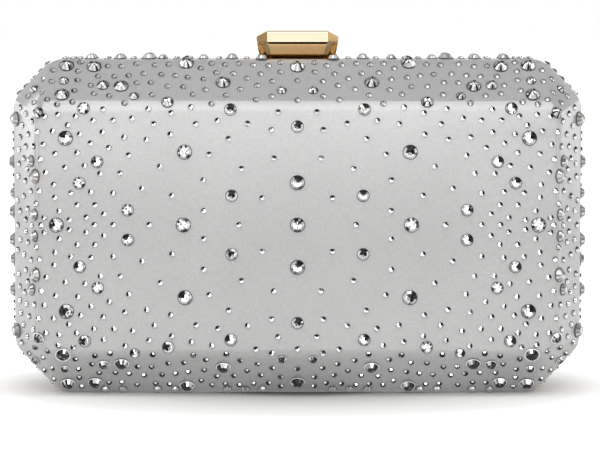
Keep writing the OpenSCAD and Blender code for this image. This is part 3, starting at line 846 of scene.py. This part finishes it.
def polished_knob():
    """The cut knob: crisp facets, and a fine groove between the upright facets and the sloping ones, dark
    with painted shade; the upright front and back facets above it carry painted highlight, the sloping front
    and back facets painted shade.
    """
    girdle_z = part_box("clasp_knob")[1].z - GIRDLE_DROP
    knob = copy_of("clasp_knob", "clasp_knob_polished")
    edit(knob)
    ends = knob.data.vertices
    pick(knob, "EDGE", lambda e: all(abs(ends[v].co.z - girdle_z) < GIRDLE_BAND for v in e.vertices))
    bpy.ops.mesh.bevel(offset=GROOVE_W, offset_type="OFFSET", segments=2, profile=0.0, affect="EDGES")
    done()
    knob.data.materials.clear()
    for finish in KNOB_FINISHES:
        knob.data.materials.append(finish)
    # Groove faces get painted shade, the upright front and back facets above it painted highlight, the
    # sloping front and back facets painted shade
    for face in knob.data.polygons:
        lengthwise = abs(face.normal.x) < 0.1
        if abs(face.center.z - girdle_z) < GROOVE_W and lengthwise:
            face.material_index = KNOB_FINISHES.index(GROOVE_SHADE)
        elif face.center.z > girdle_z and abs(face.normal.y) > 0.95:
            face.material_index = KNOB_FINISHES.index(KNOB_HIGHLIGHT)
        elif abs(face.normal.y) > 0.5 and 0.5 < face.normal.z < 0.9 and lengthwise:
            face.material_index = KNOB_FINISHES.index(KNOB_RIM_SHADE)
    softened(knob, 0.05 * MM, 8, 1)
    even_shading(knob, 6)
    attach(knob, "clasp")
    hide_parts("clasp_knob")


polished_knob()
for side in FACING:
    dressed(side + "_frame", side, FRAME_GILT, "frame_gilt", 0.18 * MM)
    dressed(side + "_base_strip", side, FRAME_GILT, "frame_gilt", 0.12 * MM)
    dressed(side + "_hinge_leaves", side, HINGE_GILT, "hinge_gilt", 0.1 * MM)
    dressed(side + "_hinge_rivets", side, HINGE_GILT, "hinge_gilt", 0.1 * MM, 40)
dressed("lock_plate", "back", FRAME_GILT, "frame_gilt", 0.1 * MM)
dressed("lock_case", "back", FRAME_GILT, "frame_gilt", 0.12 * MM)
dressed("lock_rivets", "back", HINGE_GILT, "hinge_gilt", 0.1 * MM, 40)
dressed("tongue_rivets", "front", HINGE_GILT, "hinge_gilt", 0.1 * MM, 40)
dressed("catch_tongues", "front", STEEL, "steel", 0.12 * MM)
dressed("latch_plate", "clasp", STEEL, "steel", 0.15 * MM)
dressed("clasp_posts", "clasp", STEEL, "steel", 0.12 * MM)
dressed("post_clips", "clasp", STEEL, "steel", 0.06 * MM)
dressed("hinge_pins", "back", STEEL, "steel", 0.1 * MM)


WIRE_R, SPRING_SEAT, WELD_WITHIN = 0.21 * MM, 0.3 * MM, 1e-6
SPRING_TURNS, TURN_STEPS = 7, 24


def return_spring(hand):
    """A coil of round wire in the place of its CAD sleeve, with closed ends."""
    low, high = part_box("return_springs")
    middle_y = (low.y + high.y) / 2
    coil_r = (high.y - low.y) / 2 - WIRE_R
    x = hand * (high.x - coil_r - WIRE_R)
    bpy.ops.object.select_all(action="DESELECT")
    bpy.ops.mesh.primitive_circle_add(
        vertices=8, radius=WIRE_R, rotation=(math.pi / 2, 0, 0),
        location=(x + coil_r, middle_y, low.z + WIRE_R))
    coil = bpy.context.object
    coil.name = "spring_coil"
    seat(coil)
    axle = bpy.data.objects.new("spring_axle", None)
    axle.location = (x, middle_y, low.z + WIRE_R)
    bpy.context.scene.collection.objects.link(axle)
    bpy.context.view_layer.update()
    screw = coil.modifiers.new("turns", "SCREW")
    screw.object = axle
    screw.axis = "Z"
    screw.angle = math.tau
    screw.screw_offset = (high.z - low.z - 2 * WIRE_R) / SPRING_TURNS
    screw.iterations = SPRING_TURNS
    screw.steps = TURN_STEPS
    screw.render_steps = TURN_STEPS
    screw.use_merge_vertices = True
    screw.merge_threshold = WELD_WITHIN
    apply_all(coil)
    bpy.data.objects.remove(axle)
    edit(coil)
    bpy.ops.mesh.remove_doubles(threshold=WELD_WITHIN)
    bpy.ops.mesh.select_mode(type="EDGE")
    bpy.ops.mesh.select_all(action="DESELECT")
    bpy.ops.mesh.select_non_manifold(extend=False)
    bpy.ops.mesh.edge_face_add()
    bpy.ops.mesh.select_all(action="SELECT")
    bpy.ops.mesh.normals_make_consistent(inside=False)
    done()
    return coil


springs = joined([return_spring(-1), return_spring(1)], "return_coils")
only(springs)
bpy.ops.object.shade_smooth_by_angle(angle=math.radians(60))
paint(springs, STEEL)
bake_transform(springs)
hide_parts("return_springs")


# Lining, pocket, wadding and tray
def lining_cover(side):
    """The satin-covered lining board of one half, with its edges eased and its weave laid."""
    piece = copy_of(side + "_lining", side + "_lining_cover")
    softened(piece, 0.2 * MM)
    even_shading(piece, 50)
    lay_weave(piece)
    carry(piece, side, LINING, "lining", side + "_lining")


def wadding_layer(side):
    """The soft layer between tray and lining."""
    piece = copy_of(side + "_wadding", side + "_wadding_layer")
    softened(piece, 0.25 * MM)
    even_shading(piece, 50)
    carry(piece, side, WADDING, "wadding", side + "_wadding")


for side in FACING:
    lining_cover(side)
    wadding_layer(side)
    paint(nodes[side + "_shell"], BOARD)


POCKET_LOW, POCKET_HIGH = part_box("slip_pocket")
POCKET_W = POCKET_HIGH.x - POCKET_LOW.x
POCKET_D = POCKET_HIGH.y - POCKET_LOW.y
POCKET_H = POCKET_HIGH.z - POCKET_LOW.z
PANEL_Y = POCKET_LOW.y + POCKET_D * 0.55
BOW = POCKET_D * 0.22
HEM_FROM, HEM_FOLD = POCKET_HIGH.z - 5 * MM, 0.24 * MM
PANEL_TRIM, CLOTH_THICK = 1.0 * MM, 0.2 * MM


def bowed(x, z):
    """How far the panel stands out to the front at a place: most in the middle of its mouth."""
    up = (z - POCKET_LOW.z) / POCKET_H
    across = x / (POCKET_W / 2)
    return BOW * max(0.0, up) ** 3 * (1 - across ** 2)


def slip_pocket():
    """A flat pocket: its mouth is hemmed and bows out a little in the middle."""
    width, height = POCKET_W, POCKET_H
    bpy.ops.object.select_all(action="DESELECT")
    bpy.ops.mesh.primitive_grid_add(
        x_subdivisions=56, y_subdivisions=24, size=1, rotation=(math.pi / 2, 0, 0),
        location=(0, PANEL_Y, (POCKET_LOW.z + POCKET_HIGH.z) / 2))
    panel = bpy.context.object
    panel.name = "slip_pocket_panel"
    panel.scale = (width, height - PANEL_TRIM, 1)
    seat(panel)
    edit(panel)
    pick(panel, "FACE", lambda f: f.center.z > HEM_FROM)
    bpy.ops.mesh.duplicate_move(TRANSFORM_OT_translate={"value": (0, -HEM_FOLD, 0.0)})
    done()
    for corner in panel.data.vertices:
        corner.co.y -= bowed(corner.co.x, corner.co.z)
    cloth = panel.modifiers.new("cloth", "SOLIDIFY")
    cloth.thickness = CLOTH_THICK
    cloth.offset = 0
    apply_all(panel)
    even_shading(panel, 50)
    lay_weave(panel)
    carry(panel, "back", LINING, "lining", "slip_pocket")


STITCH_PITCH, STITCH_L, THREAD_R, STITCH_SAG = 2.4 * MM, 1.5 * MM, 0.16 * MM, 0.09 * MM
SEAM_INSET, FOOT_SEAM, HEM_SEAM, SIDE_SEAM_END = 1.2 * MM, 1.7 * MM, 4.4 * MM, 1.5 * MM
STITCH_SINK, STITCH_CLEAR = 0.14 * MM, 0.02 * MM


def stitch_places():
    """Where the stitches lie, as X, Z and whether they stand upright: foot and hem first, then the sides."""
    low, high = POCKET_LOW, POCKET_HIGH
    places = []
    x = low.x + SEAM_INSET
    while x < high.x - SEAM_INSET:
        places.append((x + STITCH_L / 2, low.z + FOOT_SEAM, False))
        places.append((x + STITCH_L / 2, high.z - HEM_SEAM, False))
        x += STITCH_PITCH
    z = low.z + SEAM_INSET + STITCH_PITCH
    while z < high.z - SIDE_SEAM_END:
        places += [(low.x + SEAM_INSET, z, True), (high.x - SEAM_INSET, z, True)]
        z += STITCH_PITCH
    return places


def pocket_stitches():
    """Stitches along the pocket's sides, foot and hem, each a little arch of thread."""
    bpy.ops.object.select_all(action="DESELECT")
    bpy.ops.mesh.primitive_cylinder_add(
        vertices=6, radius=THREAD_R, depth=STITCH_L, location=(0, 0, 0), rotation=(0, math.pi / 2, 0))
    stitch = bpy.context.object
    seat(stitch)
    edit(stitch)
    bpy.ops.mesh.subdivide(number_cuts=1)
    done()
    for corner in stitch.data.vertices:
        end = abs(corner.co.x) / (STITCH_L / 2)
        corner.co.y += STITCH_SAG * end ** 2
    copies = []
    for x, z, upright in stitch_places():
        y = PANEL_Y - STITCH_SINK - bowed(x, z)
        if z > HEM_FROM:
            y -= HEM_FOLD
        y = max(y, POCKET_LOW.y + STITCH_CLEAR)
        made = stitch.copy()
        made.data = stitch.data.copy()
        turn = Matrix.Rotation(math.pi / 2, 4, "Y") if upright else Matrix.Identity(4)
        made.matrix_world = Matrix.Translation((x, y, z)) @ turn
        bpy.context.scene.collection.objects.link(made)
        copies.append(made)
    bpy.data.objects.remove(stitch)
    seam = joined(copies, "pocket_stitches")
    seat(seam)
    bpy.ops.object.shade_smooth_by_angle(angle=math.radians(60))
    carry(seam, "back", THREAD, "lining")


slip_pocket()
pocket_stitches()


# Floor, world and lamps
FLOOR_SIZE, FLOOR_DROP = 8, 0.02 * MM


def pale_floor():
    """A white table top that stays white away from the case; beside it the lamps' shadow is deepened by
    painted shadow, and for reflections it glows as painted light, most under the case.
    """
    bpy.ops.object.select_all(action="DESELECT")
    bpy.ops.mesh.primitive_plane_add(size=FLOOR_SIZE, location=(0, 0, -FLOOR_DROP))
    floor = bpy.context.object
    floor.name = "floor"
    finish, tree, shader = new_finish("pale_floor")
    speckle = noise(tree, mapped(tree, "Object"), 60.0, 3.0, 0.5)
    grain = ramp(tree, speckle, [(0.3, (0.98, 0.975, 0.96)), (0.7, (1.0, 0.995, 0.98))])
    shader.inputs["Roughness"].default_value = 0.7
    shader.inputs["Specular IOR Level"].default_value = 0.2
    seen = tree.nodes.new("ShaderNodeLightPath")
    parted = tree.nodes.new("ShaderNodeSeparateXYZ")
    wire(tree, mapped(tree, "Object"), parted.inputs["Vector"])
    # In front of the case: 0 at the floor's front edge, 1 under the case
    reach = math_of(tree, math_of(tree, parted.outputs["Y"], 2 / FLOOR_SIZE, "MULTIPLY"), 1.0)
    before = ramp(tree, reach, [(0.35, 1.0), (0.5, 0.1), (0.86, 0.1), (0.97, 1.0)])
    aside = ramp(tree, math_of(tree, parted.outputs["X"], 0.0, "ABSOLUTE"), [(0.35, 1.0), (1.0, 0.0)])
    # What the case mirrors of the floor differs from what the camera sees of it, so both have a strength;
    # the mirrored one is painted light, strongest under the case where the floor lies in shade
    mirrored = math_of(tree, seen.outputs["Is Glossy Ray"], seen.outputs["Is Transmission Ray"], "MAXIMUM")
    away = tree.nodes.new("ShaderNodeTexGradient")
    away.gradient_type = "SPHERICAL"
    wire(tree, mapped(tree, "Object", (7.5, 11, 1)), away.inputs["Vector"])
    # 1 under the middle of the case, down to 0 at 133 mm beside it and 91 mm in front of it
    nearness = away.outputs["Fac"]
    # Painted shadow: the floor's colour darkens from 0.82 far off to 0.2 under the case
    tone = ramp(tree, nearness, [(0.0, 0.82), (0.35, 0.78), (0.55, 0.70), (0.78, 0.50), (0.86, 0.2)])
    wire(tree, mixed(tree, tone, grain, 1.0, "MULTIPLY"), shader.inputs["Base Color"])
    # The glow the camera sees fades to nothing close to the case: painted shadow over the lamps' shadow
    seen_glow_with_painted_shadow = ramp(tree, nearness, [(0.0, 0.68), (0.14, 0.44), (0.35, 0.10), (0.55, 0.03), (0.75, 0.0)])
    # Painted light for reflections: the mirrored glow rises again under the case
    under = ramp(tree, nearness, [(0.0, 0.68), (0.14, 0.52), (0.35, 0.22), (0.5, 0.25), (0.75, 0.6)])
    mirrored_glow_with_painted_light = math_of(tree, math_of(tree, before, aside, "MULTIPLY"), under, "MULTIPLY")
    straight = math_of(tree, seen.outputs["Is Camera Ray"], seen_glow_with_painted_shadow, "MULTIPLY")
    strength = math_of(tree, straight, math_of(tree, mirrored, mirrored_glow_with_painted_light, "MULTIPLY"))
    glow = tree.nodes.new("ShaderNodeEmission")
    glow.inputs["Color"].default_value = (1, 1, 1, 1)
    wire(tree, strength, glow.inputs["Strength"])
    both = tree.nodes.new("ShaderNodeAddShader")
    wire(tree, shader.outputs["BSDF"], both.inputs[0])
    wire(tree, glow.outputs["Emission"], both.inputs[1])
    wire(tree, both.outputs["Shader"], tree.nodes["Material Output"].inputs["Surface"])
    paint(floor, finish)


def studio():
    """A room that is white behind the case, bright in front of it, dimmer at the sides and dark overhead."""
    world = bpy.data.worlds.new("studio")
    bpy.context.scene.world = world
    world.use_nodes = True
    tree = world.node_tree
    parted = tree.nodes.new("ShaderNodeSeparateXYZ")
    wire(tree, mapped(tree, "Generated"), parted.inputs["Vector"])
    # From in front of the case to behind it
    depth = math_of(tree, math_of(tree, parted.outputs["Y"], 0.5, "MULTIPLY"), 0.5)
    around = ramp(tree, depth, [
        (0.0, 1.05), (0.004, 1.05), (0.015, 0.6), (0.06, 0.82), (0.2, 1.0), (0.35, 0.95), (0.5, 0.72),
        (0.6, 0.85), (0.9, 0.95), (0.975, 1.0)])
    # From the horizon to straight overhead
    height = parted.outputs["Z"]
    overhead = ramp(tree, height, [(0.0, 1.0), (0.35, 0.85), (0.66, 0.7), (0.88, 0.4), (1.0, 0.34)])
    # From the left to the right
    width = math_of(tree, math_of(tree, parted.outputs["X"], 0.5, "MULTIPLY"), 0.5)
    beside = ramp(tree, width, [(0.0, 0.6), (0.06, 1.0), (0.94, 1.0), (1.0, 1.2)])
    room = mixed(tree, mixed(tree, around, overhead, 1.0, "MULTIPLY"), beside, 1.0, "MULTIPLY")
    backdrop = tree.nodes["Background"]
    wire(tree, room, backdrop.inputs["Color"])
    backdrop.inputs["Strength"].default_value = 1.0


def soft_lamp(name, place, aim, size, power):
    """An area lamp of the given width and height, aimed at a point."""
    bpy.ops.object.light_add(type="AREA", location=place)
    lamp = bpy.context.object
    lamp.name = name
    lamp.data.shape = "RECTANGLE"
    lamp.data.size, lamp.data.size_y = size
    lamp.data.energy = power
    lamp.rotation_mode = "QUATERNION"
    lamp.rotation_quaternion = (Vector(aim) - Vector(place)).to_track_quat("-Z", "Y")


pale_floor()
studio()

# The front box lights the face, and the high box the ridge above it
soft_lamp("front_box", (0, -1.5, 0.775), (0, 0, 0.095), (0.75, 1.45), 10.3)
soft_lamp("high_box", (0, -0.55, 1.3), (0, 0, 0.05), (2.2, 0.75), 11.8)

# The side boxes stand low behind the case for its side slopes, the strips low in front for its side ridges
SIDE_AIM = (0, 0, 0.08)
soft_lamp("left_box", (-1.2, 0.55, 0.19), SIDE_AIM, (0.9, 0.4), 2.7)
soft_lamp("right_box", (1.2, 0.55, 0.19), SIDE_AIM, (0.9, 0.4), 1.75)
soft_lamp("left_strip", (-1.0, -0.7, 0.2), SIDE_AIM, (0.8, 0.4), 2.3)
soft_lamp("right_strip", (1.0, -0.7, 0.2), SIDE_AIM, (0.8, 0.4), 1.65)

bpy.context.scene.view_settings.view_transform = "Standard"
